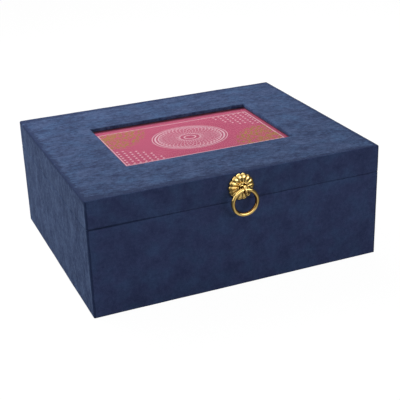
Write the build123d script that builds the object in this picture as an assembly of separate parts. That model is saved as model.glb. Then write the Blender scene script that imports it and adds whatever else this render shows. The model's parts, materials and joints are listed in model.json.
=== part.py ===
from build123d import *
import math
import os

# Keepsake box: boards glued into a tray and a hinged lid, both wrapped in a thin suede
# cloth, with a photo window in the lid and a ring pull on its front.
# Millimetres. X runs left to right, Y front to back, Z up. The origin is the centre of
# the underside, so the box stands on z = 0.

# ---- the box as a whole
BOX_WIDTH = 250.0  # over the cloth, left to right
BOX_DEPTH = 204.0  # over the cloth, front to back
BASE_RIM = 75.0  # height of the tray's rim above the table
SEAM_GAP = 0.3  # between the closed lid's rim and the tray's rim
LID_HEIGHT = 23.0  # from the lid's rim to its top
BOARD = 6.0  # wall boards
WRAP = 0.6  # suede cloth with its paper back
CORNER_RADIUS = 2.4  # upright corners, over the cloth
RIM_RADIUS = 0.8  # both edges of each rim
BOTTOM_CHAMFER = 0.8  # around the underside
TOP_EDGE_RADIUS = 2.2  # around the lid's top
RABBET = 3.0  # how deep the side boards sit in the front and back boards

# ---- the tray
FELT = 0.8  # sheet glued under the box
FELT_INSET = 2.0  # from the outside of the cloth
FLOOR_BOARD = 4.0
TURN_UNDER = 12.0  # cloth glued under the box
TURN_IN = 14.0  # cloth glued down inside each rim
LINING = 1.6  # covered card on the inner walls
LINING_DROP = 2.0  # from the rim to the linings' edge
FLOOR_PAD = 2.0
LINING_GAP = 0.3  # between the pad or sheet and the walls around it

# ---- the lid and its photo window
TOP_PANEL = 2.5
REBATE_FRAME = 4.0  # board under the panel, which holds the photo
PHOTO_LENGTH = 152.4  # a 4 x 6 inch photo
PHOTO_WIDTH = 101.6
PHOTO_CARD = 0.3
PHOTO_OVERLAP = 2.2  # of each photo edge hidden by the window's edge
PHOTO_ROOM = 0.8  # around the photo in the rebate
WINDOW_EDGE_RADIUS = 1.0
PANE = 1.0  # clear acrylic
PANE_ROOM = 0.4  # around the pane in the rebate
BACKING_ROOM = 0.5  # around the backing board in the rebate
CEILING_LINING = 0.5

# ---- turn buttons that hold the backing board
BUTTON_LENGTH = 18.0
BUTTON_WIDTH = 6.0
BUTTON = 0.8
BUTTON_PIVOT = 4.5  # from the button's outer end to its screw
BUTTON_SETBACK = 5.0  # from the rebate's edge to the screw
BUTTON_LIFT = 0.2  # between the button and the board
BUTTON_BORE = 1.3
BUTTON_SCREW_RADIUS = 1.2
BUTTON_SCREW_BITE = 3.6  # how deep the screw goes into the lid
BUTTON_HEAD_RADIUS = 2.6
BUTTON_HEAD = 1.5
SCREW_ROOM = 0.05  # between a screw and its hole

# ---- stop hinges
HINGE_INSET = 50.0  # from each side of the box to a hinge's middle
HINGE_LENGTH = 32.0
HINGE_SHEET = 1.0
LEAF_HEIGHT = 12.0
LEAF_START = 2.6  # from the pin's axis to the leaf's edge
LEAF_CORNER = 2.0
KNUCKLES = 3  # the tray's leaf has the first and last
KNUCKLE_RADIUS = 2.0
KNUCKLE_GAP = 0.2  # between neighbours along the pin
KNUCKLE_CLEARANCE = 0.3  # between the knuckles and the back of the box
PIN_RADIUS = 0.9
PIN_ROOM = 0.05
OPEN_ANGLE = 95.0  # where the stops meet
STOP_REACH = 3.4
STOP_CLEARANCE = 0.3  # between the knuckles and the tray leaf's stop
STOP_TOUCH = 0.1  # left between the two stops at OPEN_ANGLE
HINGE_HOLE_SPACING = 20.0  # between a leaf's two screws
HINGE_HOLE_SETBACK = 6.5  # from the leaf's edge at the knuckles to its screws
HINGE_SCREW_RADIUS = 0.9
HINGE_SCREW_LENGTH = 5.4
HINGE_HEAD_RADIUS = 1.8

# ---- ring pull
PULL_HEIGHT = 11.3  # of the pull's centre above the lid's rim
ROSETTE_RADIUS = 11.0
ROSETTE_DEPTH = 4.0
PETALS = 14
PETAL_ROUND = 0.9  # how far each petal bulges past its notches
CROWN_RADIUS = 5.6  # small petals around the dish
CROWN_RISE = 0.9
CROWN_PETALS = 8
CROWN_ROUND = 0.8
DISH_RADIUS = 3.9  # at the crown's top
DISH_DEPTH = 2.4  # from the rosette's top to the seat of the post's collar
EYE_REACH = 8.0  # from the front of the lid to the eye's centre
EYE_RADIUS = 3.4
EYE_BORE = 1.95
EYE_WIDTH = 3.0
EYE_ROUND = 0.7
POST_RADIUS = 1.5
POST_ROOM = 0.1
COLLAR_RADIUS = 2.3
COLLAR = 1.0
RING_WIRE = 3.2
RING_OUTSIDE = 23.8
WASHER_RADIUS = 4.0
WASHER = 0.7
NUT_FLATS = 5.5
NUT = 2.4
NUT_DOME = 1.6
POST_IN_NUT = 3.2  # thread inside the domed nut

# ---- levels and places worked out from the sizes
SHELL_BOTTOM = FELT  # underside of the cloth
BOARD_BOTTOM = SHELL_BOTTOM + WRAP
FLOOR_TOP = BOARD_BOTTOM + FLOOR_BOARD
LID_RIM = BASE_RIM + SEAM_GAP
LID_TOP = LID_RIM + LID_HEIGHT
PANEL_TOP = LID_TOP - WRAP
PANEL_BOTTOM = PANEL_TOP - TOP_PANEL
FRAME_BOTTOM = PANEL_BOTTOM - REBATE_FRAME
CEILING = FRAME_BOTTOM - CEILING_LINING
SEAM = (BASE_RIM + LID_RIM) / 2
BOARD_FACE = WRAP + BOARD  # from the outside to the boards' inner face
CLOTH_FACE = BOARD_FACE + WRAP  # to the turned-in cloth's inner face
LINING_FACE = CLOTH_FACE + LINING
WINDOW_LENGTH = PHOTO_LENGTH - 2 * PHOTO_OVERLAP
WINDOW_WIDTH = PHOTO_WIDTH - 2 * PHOTO_OVERLAP
REBATE_LENGTH = PHOTO_LENGTH + 2 * PHOTO_ROOM
REBATE_WIDTH = PHOTO_WIDTH + 2 * PHOTO_ROOM
FRONT = -BOX_DEPTH / 2
BACK = BOX_DEPTH / 2
PIN_Y = BACK + KNUCKLE_CLEARANCE + KNUCKLE_RADIUS
PULL_Z = LID_RIM + PULL_HEIGHT
PULL_FRONT = Plane(origin=(0, FRONT, PULL_Z), x_dir=(1, 0, 0), z_dir=(0, -1, 0))
THROUGH = 1.0  # how far a cutting tool runs past what it cuts


def block(inset, low, high, radius=0.0):
    """The box's plan, drawn in by inset, from low to high."""
    width = BOX_WIDTH - 2 * inset
    depth = BOX_DEPTH - 2 * inset
    plan = RectangleRounded(width, depth, radius) if radius > 0 else Rectangle(width, depth)
    return extrude(Plane.XY.offset(low) * plan, high - low)


def slab(length, width, low, high):
    """A rectangle centred on the window, from low to high."""
    return extrude(Plane.XY.offset(low) * Rectangle(length, width), high - low)


def under_cloth(radius):
    """A board's radius where the cloth over it has the given one."""
    return max(radius - WRAP, 0.2)


def level_edges(shape, height):
    """The edges of shape that lie flat at the given height."""
    return shape.edges().filter_by_position(Axis.Z, height - 0.01, height + 0.01)


def inside_edges(shape, height, half_width):
    """Those of them that stay within half_width of the middle."""
    return [edge for edge in level_edges(shape, height)
            if max(abs(edge.bounding_box().min.X), abs(edge.bounding_box().max.X)) < half_width + 0.01]


def four_walls(prefix, inset, thickness, low, high, rabbet, radius=0.0):
    """Front, back, left and right plates of a frame whose outside is drawn in by inset."""
    frame = block(inset, low, high, radius) - block(inset + thickness, low, high)
    width = BOX_WIDTH - 2 * (inset + thickness)
    depth = BOX_DEPTH - 2 * (inset + thickness - rabbet)
    sides = extrude(Plane.XY.offset(low) * Rectangle(BOX_WIDTH, depth), high - low)
    sides -= extrude(Plane.XY.offset(low) * Rectangle(width, depth), high - low)
    ends = frame - sides
    walls = frame & sides
    by_y = ends.solids().sort_by(Axis.Y)
    by_x = walls.solids().sort_by(Axis.X)
    return {
        prefix + "front": by_y[0],
        prefix + "back": by_y[-1],
        prefix + "left": by_x[0],
        prefix + "right": by_x[-1],
    }


# ---- tray

def tray_boards():
    boards = four_walls("", WRAP, BOARD, BOARD_BOTTOM, BASE_RIM - WRAP, RABBET, under_cloth(CORNER_RADIUS))
    return {"base_" + side + "_board": board for side, board in boards.items()}


def tray_wrap():
    shell = block(0, SHELL_BOTTOM, BASE_RIM, CORNER_RADIUS)
    shell = chamfer(level_edges(shell, SHELL_BOTTOM), BOTTOM_CHAMFER)
    shell -= block(CLOTH_FACE, SHELL_BOTTOM - THROUGH, BASE_RIM + THROUGH)
    shell = fillet(level_edges(shell, BASE_RIM), min(RIM_RADIUS, CLOTH_FACE / 3))
    boards = block(WRAP, BOARD_BOTTOM, BASE_RIM - WRAP, under_cloth(CORNER_RADIUS))
    boards -= block(BOARD_FACE, BOARD_BOTTOM, BASE_RIM - WRAP)
    shell -= boards
    shell -= block(BOARD_FACE, SHELL_BOTTOM + WRAP, BASE_RIM - TURN_IN)
    under = block(CLOTH_FACE - WRAP, SHELL_BOTTOM, BOARD_BOTTOM) - block(TURN_UNDER, SHELL_BOTTOM, BOARD_BOTTOM)
    return shell + under


def bottom_felt():
    felt = block(FELT_INSET, 0, FELT, CORNER_RADIUS)
    return felt + block(TURN_UNDER + LINING_GAP, FELT, BOARD_BOTTOM)


def tray_linings():
    return four_walls("base_lining_", CLOTH_FACE, LINING, FLOOR_TOP + FLOOR_PAD, BASE_RIM - LINING_DROP, 0)


# ---- lid

def lid_boards():
    boards = four_walls("", WRAP, BOARD, LID_RIM + WRAP, PANEL_BOTTOM, RABBET, under_cloth(CORNER_RADIUS))
    boards = {"lid_" + side + "_board": board for side, board in boards.items()}
    boards["lid_front_board"] -= post_hole()
    for x, z in hinge_screw_places(1):
        boards["lid_back_board"] -= hinge_pilot(x, z)
    return boards


def lid_panel():
    panel = block(WRAP, PANEL_BOTTOM, PANEL_TOP, under_cloth(CORNER_RADIUS))
    rounded = min(under_cloth(TOP_EDGE_RADIUS), TOP_PANEL * 0.9, under_cloth(CORNER_RADIUS) * 0.95)
    panel = fillet(level_edges(panel, PANEL_TOP), rounded)
    cut = slab(WINDOW_LENGTH + 2 * WRAP, WINDOW_WIDTH + 2 * WRAP, PANEL_BOTTOM - THROUGH, PANEL_TOP + THROUGH)
    panel -= cut
    return fillet(inside_edges(panel, PANEL_TOP, WINDOW_LENGTH / 2 + WRAP), under_cloth(WINDOW_EDGE_RADIUS))


def lid_wrap(panel):
    shell = block(0, LID_RIM, LID_TOP, CORNER_RADIUS)
    shell = fillet(level_edges(shell, LID_TOP), min(TOP_EDGE_RADIUS, CORNER_RADIUS * 0.95))
    shell -= slab(WINDOW_LENGTH, WINDOW_WIDTH, LID_RIM - THROUGH, LID_TOP + THROUGH)
    shell = fillet(inside_edges(shell, LID_TOP, WINDOW_LENGTH / 2), WINDOW_EDGE_RADIUS)
    shell -= block(CLOTH_FACE, LID_RIM - THROUGH, LID_RIM + TURN_IN)
    shell = fillet(level_edges(shell, LID_RIM), min(RIM_RADIUS, CLOTH_FACE / 3))
    boards = block(WRAP, LID_RIM + WRAP, PANEL_BOTTOM, under_cloth(CORNER_RADIUS))
    boards -= block(BOARD_FACE, LID_RIM + WRAP, LID_RIM + TURN_IN)
    shell -= boards
    shell -= panel
    for x, z in hinge_screw_places(1):
        shell -= hinge_pilot(x, z)
    return shell - post_hole()


def rebate_frame():
    frame = block(BOARD_FACE, FRAME_BOTTOM, PANEL_BOTTOM)
    frame -= slab(REBATE_LENGTH, REBATE_WIDTH, FRAME_BOTTOM - THROUGH, PANEL_BOTTOM + THROUGH)
    return frame - button_pilots()


def ceiling_lining():
    lining = block(BOARD_FACE + LINING_GAP, CEILING, FRAME_BOTTOM)
    lining -= slab(REBATE_LENGTH, REBATE_WIDTH, CEILING - THROUGH, FRAME_BOTTOM + THROUGH)
    return lining - button_pilots()


def lid_linings():
    linings = four_walls("lid_lining_", CLOTH_FACE, LINING, LID_RIM + LINING_DROP, CEILING, 0)
    linings["lid_lining_front"] -= post_hole()
    return linings


def window_stack():
    """Pane, photo and backing board, each flat against the one above."""
    pane_bottom = PANEL_BOTTOM - PANE
    card_bottom = pane_bottom - PHOTO_CARD
    return {
        "window_pane": slab(
            REBATE_LENGTH - 2 * PANE_ROOM, REBATE_WIDTH - 2 * PANE_ROOM, pane_bottom, PANEL_BOTTOM
        ),
        "photo_card": slab(PHOTO_LENGTH, PHOTO_WIDTH, card_bottom, pane_bottom),
        "backing_board": slab(
            REBATE_LENGTH - 2 * BACKING_ROOM, REBATE_WIDTH - 2 * BACKING_ROOM, CEILING, card_bottom
        ),
    }


# ---- turn buttons

def button_places():
    """Each side's screw, as a name, a place and the turn that points the button inwards."""
    out_x = REBATE_LENGTH / 2 + BUTTON_SETBACK
    out_y = REBATE_WIDTH / 2 + BUTTON_SETBACK
    return (
        ("front", Pos(0, -out_y, CEILING) * Rot(Z=90)),
        ("back", Pos(0, out_y, CEILING) * Rot(Z=-90)),
        ("left", Pos(-out_x, 0, CEILING)),
        ("right", Pos(out_x, 0, CEILING) * Rot(Z=180)),
    )


def turn_button():
    """A slotted-end strip that points along +X from its screw at the origin."""
    plan = Pos(BUTTON_LENGTH / 2 - BUTTON_PIVOT, 0) * SlotOverall(BUTTON_LENGTH, BUTTON_WIDTH)
    plan -= Circle(BUTTON_BORE)
    return extrude(Plane.XY.offset(-BUTTON_LIFT - BUTTON) * plan, BUTTON)


def button_screw():
    head_top = -BUTTON_LIFT - BUTTON - SCREW_ROOM
    head = Pos(0, 0, head_top - BUTTON_HEAD / 2) * Cylinder(BUTTON_HEAD_RADIUS, BUTTON_HEAD)
    head = chamfer(level_edges(head, head_top - BUTTON_HEAD), BUTTON_HEAD * 0.5)
    length = BUTTON_SCREW_BITE - head_top
    shank = Pos(0, 0, head_top + length / 2) * Cylinder(BUTTON_SCREW_RADIUS, length)
    return head + shank


def button_pilots():
    depth = BUTTON_SCREW_BITE + SCREW_ROOM
    pilot = Pos(0, 0, depth / 2) * Cylinder(BUTTON_SCREW_RADIUS + SCREW_ROOM, depth)
    return Compound([place * pilot for _, place in button_places()])


# ---- stop hinges

def hinge_centres():
    reach = BOX_WIDTH / 2 - HINGE_INSET
    return (("left", -reach), ("right", reach))


def hinge_strip(x, low_y, high_y, low_z, high_z, length):
    """A length of hinge sheet by its limits from the pin's axis, in front of nothing else."""
    place = Pos(x, PIN_Y + (low_y + high_y) / 2, SEAM + (low_z + high_z) / 2)
    return place * Box(length, high_y - low_y, high_z - low_z)


def knuckle_spans(first):
    """Middles of every second knuckle, counted from the hinge's left end."""
    pitch = HINGE_LENGTH / KNUCKLES
    return [(index + 0.5) * pitch - HINGE_LENGTH / 2 for index in range(first, KNUCKLES, 2)]


def hinge_leaf(centre, side):
    """The tray's leaf where side is -1, the lid's where it is 1."""
    pitch = HINGE_LENGTH / KNUCKLES
    length = pitch - KNUCKLE_GAP
    back = -KNUCKLE_CLEARANCE - KNUCKLE_RADIUS
    edges = sorted((side * LEAF_START, side * (LEAF_START + LEAF_HEIGHT)))
    leaf = hinge_strip(centre, back, back + HINGE_SHEET, *edges, HINGE_LENGTH)
    far = SEAM + side * (LEAF_START + LEAF_HEIGHT)
    corners = leaf.edges().filter_by(Axis.Y).filter_by_position(Axis.Z, far - 0.01, far + 0.01)
    leaf = fillet(corners, LEAF_CORNER)
    own = knuckle_spans(0 if side < 0 else 1)
    axis = Pos(centre, PIN_Y, SEAM) * Rot(Y=90)
    for x in own:
        reach = sorted((0.0, side * (LEAF_START + HINGE_SHEET / 2)))
        leaf += hinge_strip(centre + x, -KNUCKLE_RADIUS, HINGE_SHEET - KNUCKLE_RADIUS, *reach, length)
        leaf += axis * Pos(0, 0, x) * Cylinder(KNUCKLE_RADIUS, length)
    for x in knuckle_spans(1):
        leaf += hinge_stop(centre + x, side, length, back)
    leaf -= axis * Cylinder(PIN_RADIUS + PIN_ROOM, HINGE_LENGTH + 2 * THROUGH)
    for x, z in hinge_screw_places(side, (centre,)):
        leaf -= hinge_countersink(x, z)
    return leaf


def hinge_stop(x, side, length, back):
    """The tray leaf's ledge under a lid knuckle, or the lip behind it that lands on the ledge."""
    ledge_top = -KNUCKLE_RADIUS - STOP_CLEARANCE
    if side < 0:
        return hinge_strip(x, back, STOP_REACH, ledge_top - HINGE_SHEET, ledge_top, length)
    low = ledge_top + STOP_TOUCH
    landed = Pos(0, STOP_REACH / 2, low + HINGE_SHEET / 2) * Box(length, STOP_REACH, HINGE_SHEET)
    return Pos(x, PIN_Y, SEAM) * Rot(X=OPEN_ANGLE) * landed


def hinge_screw_places(side, centres=None):
    """X and Z of each screw of the tray's leaves (side -1) or the lid's (side 1)."""
    centres = centres or [x for _, x in hinge_centres()]
    height = SEAM + side * (LEAF_START + HINGE_HOLE_SETBACK)
    steps = (-HINGE_HOLE_SPACING / 2, HINGE_HOLE_SPACING / 2)
    return [(centre + step, height) for centre in centres for step in steps]


def on_back(x, z, outward):
    """A place on the back of the box whose Z axis points out of it."""
    return Plane(origin=(x, BACK + outward, z), x_dir=(-1, 0, 0), z_dir=(0, 1, 0))


def hinge_screw(x, z):
    """A countersunk screw whose head is flush with the leaf."""
    head = Pos(0, 0, -HINGE_SHEET / 2) * Cone(HINGE_SCREW_RADIUS, HINGE_HEAD_RADIUS, HINGE_SHEET)
    straight = HINGE_SCREW_LENGTH - HINGE_SHEET
    shank = Pos(0, 0, -HINGE_SHEET - straight / 2) * Cylinder(HINGE_SCREW_RADIUS, straight)
    return on_back(x, z, HINGE_SHEET) * (head + shank)


def hinge_pilot(x, z):
    depth = HINGE_SCREW_LENGTH + SCREW_ROOM
    pilot = Pos(0, 0, -depth / 2) * Cylinder(HINGE_SCREW_RADIUS + SCREW_ROOM, depth)
    return on_back(x, z, HINGE_SHEET) * pilot


def hinge_countersink(x, z):
    flare = Cone(HINGE_SCREW_RADIUS + SCREW_ROOM, HINGE_HEAD_RADIUS + SCREW_ROOM, HINGE_SHEET)
    return on_back(x, z, HINGE_SHEET) * (Pos(0, 0, -HINGE_SHEET / 2) * flare) + hinge_pilot(x, z)


def hinge_pin(centre):
    """A pin that ends flush with the outer knuckles."""
    return Pos(centre, PIN_Y, SEAM) * Rot(Y=90) * Cylinder(PIN_RADIUS, HINGE_LENGTH - KNUCKLE_GAP)


# ---- ring pull

def petal_outline(radius, bulge, count, height):
    """A ring of petals that reach the radius, at a height above the lid's front."""
    notch = radius - bulge
    arcs = []
    for index in range(count):
        turns = [math.radians((index + step) * 360 / count) for step in (0, 0.5, 1)]
        points = [(r * math.sin(t), r * math.cos(t)) for r, t in zip((notch, radius, notch), turns)]
        arcs.append(ThreePointArc(*points))
    return Plane.XY.offset(height) * make_face(arcs)


def petal_dome(radius, bulge, count, low, rise, profile):
    """Petals drawn up through a profile of radius and height shares."""
    outlines = [petal_outline(radius * r, bulge * r, count, low + rise * z) for r, z in profile]
    return loft(outlines, ruled=True)


def rosette():
    """A dome of petals with a crown of small petals around its dished middle."""
    petals = ((0.96, 0.0), (1.0, 0.2), (0.93, 0.52), (0.76, 0.82), (0.5, 1.0))
    dome = petal_dome(ROSETTE_RADIUS, PETAL_ROUND, PETALS, 0, ROSETTE_DEPTH, petals)
    crown = ((0.97, -0.6), (1.0, 0.2), (0.93, 0.75), (0.8, 1.0))
    dome += petal_dome(CROWN_RADIUS, CROWN_ROUND, CROWN_PETALS, ROSETTE_DEPTH, CROWN_RISE, crown)
    seat = ROSETTE_DEPTH - DISH_DEPTH
    bore = COLLAR_RADIUS + POST_ROOM
    dish_top = ROSETTE_DEPTH + CROWN_RISE
    dish_bottom = seat + COLLAR
    dish = Cone(bore, DISH_RADIUS, dish_top - dish_bottom)
    dome -= Pos(0, 0, (dish_top + dish_bottom) / 2) * dish
    dome -= Pos(0, 0, seat + DISH_DEPTH / 2) * Cylinder(bore, DISH_DEPTH)
    dome -= Cylinder(POST_RADIUS + POST_ROOM, 2 * ROSETTE_DEPTH)
    return PULL_FRONT * dome


def post_inner_end():
    """How far the post reaches inside the lid's front, as a negative height."""
    return -LINING_FACE - WASHER - POST_IN_NUT


def pull_post():
    """An eye on a threaded shank, with a collar that seats in the rosette's dish."""
    eye = Pos(0, 0, EYE_REACH) * Rot(Y=90) * Cylinder(EYE_RADIUS, EYE_WIDTH)
    eye = chamfer(eye.edges().filter_by(GeomType.CIRCLE), EYE_ROUND)
    inner = post_inner_end()
    outer = EYE_REACH - (EYE_BORE + EYE_RADIUS) / 2
    shank = Pos(0, 0, (inner + outer) / 2) * Cylinder(POST_RADIUS, outer - inner)
    seat = ROSETTE_DEPTH - DISH_DEPTH
    collar = Pos(0, 0, seat + COLLAR / 2) * Cylinder(COLLAR_RADIUS, COLLAR)
    post = eye + shank + collar
    post -= Pos(0, 0, EYE_REACH) * Rot(Y=90) * Cylinder(EYE_BORE, EYE_WIDTH + 2 * THROUGH)
    return PULL_FRONT * post


def post_hole():
    """The hole for the post through the cloth, the front board and the lining."""
    depth = LINING_FACE + THROUGH
    return PULL_FRONT * Pos(0, 0, -depth / 2) * Cylinder(POST_RADIUS + POST_ROOM, depth)


def pull_washer():
    washer = Cylinder(WASHER_RADIUS, WASHER) - Cylinder(POST_RADIUS + POST_ROOM, WASHER)
    return PULL_FRONT * Pos(0, 0, -LINING_FACE - WASHER / 2) * washer


def pull_nut():
    """A domed nut whose blind thread takes the end of the post."""
    face = -LINING_FACE - WASHER
    hexagon = RegularPolygon(NUT_FLATS / 2, 6, major_radius=False)
    nut = extrude(Plane.XY.offset(face - NUT) * hexagon, NUT)
    dome_radius = NUT_FLATS / 2
    dome = Pos(0, 0, face - NUT) * Sphere(dome_radius) & Pos(0, 0, face - NUT - NUT_DOME / 2) * Box(
        NUT_FLATS, NUT_FLATS, NUT_DOME
    )
    thread = POST_IN_NUT + SCREW_ROOM
    nut = nut + dome - Pos(0, 0, face - thread / 2) * Cylinder(POST_RADIUS + SCREW_ROOM, thread)
    return PULL_FRONT * nut


def pull_ring():
    """A plain ring that hangs from the eye."""
    middle = (RING_OUTSIDE - RING_WIRE) / 2
    return PULL_FRONT * Pos(0, -middle, EYE_REACH) * Torus(middle, RING_WIRE / 2)


# ---- every piece by name

def build_parts():
    parts = tray_boards()
    for x, z in hinge_screw_places(-1):
        parts["base_back_board"] -= hinge_pilot(x, z)
    parts["base_floor_board"] = block(BOARD_FACE, BOARD_BOTTOM, FLOOR_TOP)
    parts["base_suede_wrap"] = tray_wrap()
    for x, z in hinge_screw_places(-1):
        parts["base_suede_wrap"] -= hinge_pilot(x, z)
    parts.update(tray_linings())
    parts["base_floor_pad"] = block(BOARD_FACE + LINING_GAP, FLOOR_TOP, FLOOR_TOP + FLOOR_PAD)
    parts["bottom_felt"] = bottom_felt()
    parts.update(lid_boards())
    parts["lid_top_panel"] = lid_panel()
    parts["lid_suede_wrap"] = lid_wrap(parts["lid_top_panel"])
    parts["photo_rebate_frame"] = rebate_frame()
    parts["lid_ceiling_lining"] = ceiling_lining()
    parts.update(lid_linings())
    parts.update(window_stack())
    for side, place in button_places():
        parts["turn_button_" + side] = place * turn_button()
    parts["turn_button_screws"] = Compound([place * button_screw() for _, place in button_places()])
    for side, centre in hinge_centres():
        parts["hinge_base_leaf_" + side] = hinge_leaf(centre, -1)
        parts["hinge_lid_leaf_" + side] = hinge_leaf(centre, 1)
    parts["hinge_pins"] = Compound([hinge_pin(centre) for _, centre in hinge_centres()])
    for name, side in (("base_hinge_screws", -1), ("lid_hinge_screws", 1)):
        parts[name] = Compound([hinge_screw(x, z) for x, z in hinge_screw_places(side)])
    parts["pull_rosette"] = rosette()
    parts["pull_post"] = pull_post()
    parts["pull_washer"] = pull_washer()
    parts["pull_nut"] = pull_nut()
    parts["pull_ring"] = pull_ring()
    return parts


os.makedirs("parts", exist_ok=True)
for name, shape in build_parts().items():
    export_step(shape, "parts/" + name + ".step")
    print(name, len(shape.solids()))
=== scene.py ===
# %% [markdown]
# # A keepsake box
# The box stands on a table: a tray and a hinged lid, both wrapped in navy suede cloth, with a
# printed card behind a pane in the lid and a gold ring pull on the front. Its solids come from
# CAD with their true sizes. They load as a fixed frame in metres: X runs left to right, Y front
# to back, Z up.

# %% Load the solids
import json
import math

import bmesh
import bpy
from mathutils import Matrix, Vector

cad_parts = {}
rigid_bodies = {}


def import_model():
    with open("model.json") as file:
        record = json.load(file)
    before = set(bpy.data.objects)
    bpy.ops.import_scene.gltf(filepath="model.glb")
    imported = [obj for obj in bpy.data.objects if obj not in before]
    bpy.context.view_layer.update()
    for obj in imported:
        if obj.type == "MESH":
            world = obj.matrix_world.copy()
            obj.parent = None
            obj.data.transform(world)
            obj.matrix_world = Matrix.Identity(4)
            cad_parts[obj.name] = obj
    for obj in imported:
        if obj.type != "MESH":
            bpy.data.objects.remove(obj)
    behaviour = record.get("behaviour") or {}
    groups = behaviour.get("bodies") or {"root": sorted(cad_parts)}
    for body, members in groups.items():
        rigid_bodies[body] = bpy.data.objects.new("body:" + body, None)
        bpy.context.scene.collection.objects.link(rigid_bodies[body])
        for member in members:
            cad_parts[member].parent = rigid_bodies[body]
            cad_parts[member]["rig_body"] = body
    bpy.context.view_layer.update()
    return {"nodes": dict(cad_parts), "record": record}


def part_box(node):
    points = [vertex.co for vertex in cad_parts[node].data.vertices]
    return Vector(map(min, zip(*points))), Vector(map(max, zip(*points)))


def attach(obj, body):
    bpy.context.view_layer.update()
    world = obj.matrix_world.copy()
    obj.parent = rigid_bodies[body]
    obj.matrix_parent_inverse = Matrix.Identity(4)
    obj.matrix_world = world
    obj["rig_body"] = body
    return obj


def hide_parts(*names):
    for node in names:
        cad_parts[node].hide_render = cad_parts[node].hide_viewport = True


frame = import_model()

MM = 0.001

# %% [markdown]
# ## Camera
# The box is seen from its front left corner, a little from above, with a long lens that keeps
# its edges almost parallel. The camera could be aimed with a Track To constraint, but a turn
# written as three rotations also keeps the slight tilt of a hand-held frame: first the roll about
# the lens axis, then the tilt down, then the turn about the upright axis.

# %% Camera
TURN, DOWN, ROLL = -22.208, 23.777, -2.045        # degrees
turn = Matrix.Rotation(math.radians(TURN), 4, "Z")
tilt = Matrix.Rotation(math.radians(90 - DOWN), 4, "X")
roll = Matrix.Rotation(math.radians(ROLL), 4, "Z")
bpy.ops.object.camera_add(location=(-0.28297, -0.71098, 0.37159))
camera = bpy.context.object
camera.rotation_euler = (turn @ tilt @ roll).to_euler()
camera.data.sensor_width = 36
camera.data.lens = 84.86
camera.data.clip_start = 0.01
bpy.context.scene.camera = camera
bpy.context.scene.view_settings.view_transform = "Standard"
print("camera", [round(x, 3) for x in camera.location])

# %% [markdown]
# ## Shader maths
# Cloth, felt and print differ from place to place, and in a node tree every sum is a Math node.
# Placing those by hand hides the idea, so a wire class lets Python's own operators add them:
# `1 - mask * 0.5` makes two nodes. The finish class owns a material. Its `node` method adds any
# other node from its type, its settings and what its sockets get, and `paint` feeds the shader.

# %% Wires: node outputs that work in Python sums
class Wire:
    """One output of a node, which Python's operators carry on to Math nodes."""

    def __init__(self, finish, socket):
        self.finish, self.socket = finish, socket

    def maths(self, operation, *values):
        return self.finish.maths_of(operation, *values)

    def __add__(self, other):
        return self.maths("ADD", self, other)

    def __sub__(self, other):
        return self.maths("SUBTRACT", self, other)

    def __rsub__(self, other):
        return self.maths("SUBTRACT", other, self)

    def __mul__(self, other):
        return self.maths("MULTIPLY", self, other)

    def __truediv__(self, other):
        return self.maths("DIVIDE", self, other)

    def __mod__(self, other):
        return self.maths("FLOORED_MODULO", self, other)

    def __abs__(self):
        return self.maths("ABSOLUTE", self)

    def __gt__(self, other):
        return self.maths("GREATER_THAN", self, other)

    def __lt__(self, other):
        return self.maths("LESS_THAN", self, other)

    __radd__ = __add__


print("operators", [name for name in vars(Wire) if name.startswith("__")])

# %% Finishes: materials made of wires
class Finish:
    """A material, or the world: its shader's sockets get constants, or wires by paint()."""

    def __init__(self, owner, shader, constants):
        self.owner = owner
        self.owner.use_nodes = True
        self.tree = self.owner.node_tree
        self.shader = self.tree.nodes[shader]
        self.paint(constants)

    def feed(self, socket, value):
        if isinstance(value, Wire):
            self.tree.links.new(value.socket, socket)
        else:
            socket.default_value = value

    def paint(self, values):
        for name, value in values.items():
            self.feed(self.shader.inputs[name], value)

    def node(self, kind, settings, inputs, output=0):
        made = self.tree.nodes.new("ShaderNode" + kind)
        for name, value in settings.items():
            setattr(made, name, value)
        for name, value in inputs.items():
            self.feed(made.inputs[name], value)
        return Wire(self, made.outputs[output])

    def maths_of(self, operation, *values):
        """Any Math node, also one that has no operator, such as a square root."""
        return self.node("Math", {"operation": operation}, dict(enumerate(values)))

    def place(self):
        """Where a point is on its piece, in metres."""
        return self.node("TexCoord", {}, {}, "Object")

    def axes(self):
        """The same place as three wires."""
        split = self.node("SeparateXYZ", {}, {"Vector": self.place()})
        return [Wire(self, socket) for socket in split.socket.node.outputs]

    def noise(self, per_metre, detail=2.0, roughness=0.5):
        """Noise from 0 to 1 with so many lumps to the metre along each axis."""
        stretched = self.node("Mapping", {}, {"Vector": self.place(), "Scale": per_metre})
        return self.node("TexNoise", {}, {"Vector": stretched, "Scale": 1.0, "Detail": detail,
                                          "Roughness": roughness})

    def mix(self, share, first, second):
        """From the first colour, at share 0, to the second."""
        return self.node("Mix", {"data_type": "RGBA"}, {0: share, 6: first, 7: second}, 2)

    def ease(self, value, start, end):
        """0 before start, 1 after end, and smooth between them."""
        return self.node("MapRange", {"interpolation_type": "SMOOTHSTEP"},
                         {"Value": value, "From Min": start, "From Max": end})

    def relief(self, height, depth):
        """A normal for bumps whose height, from 0 to 1, stands for depth in metres."""
        bump = self.node("Bump", {}, {"Height": height, "Strength": 1.0, "Distance": depth})
        self.paint({"Normal": bump})


print("finish methods", [name for name in vars(Finish) if not name.startswith("__")])


def new_finish(name, constants):
    return Finish(bpy.data.materials.new(name), "Principled BSDF", constants)


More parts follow.
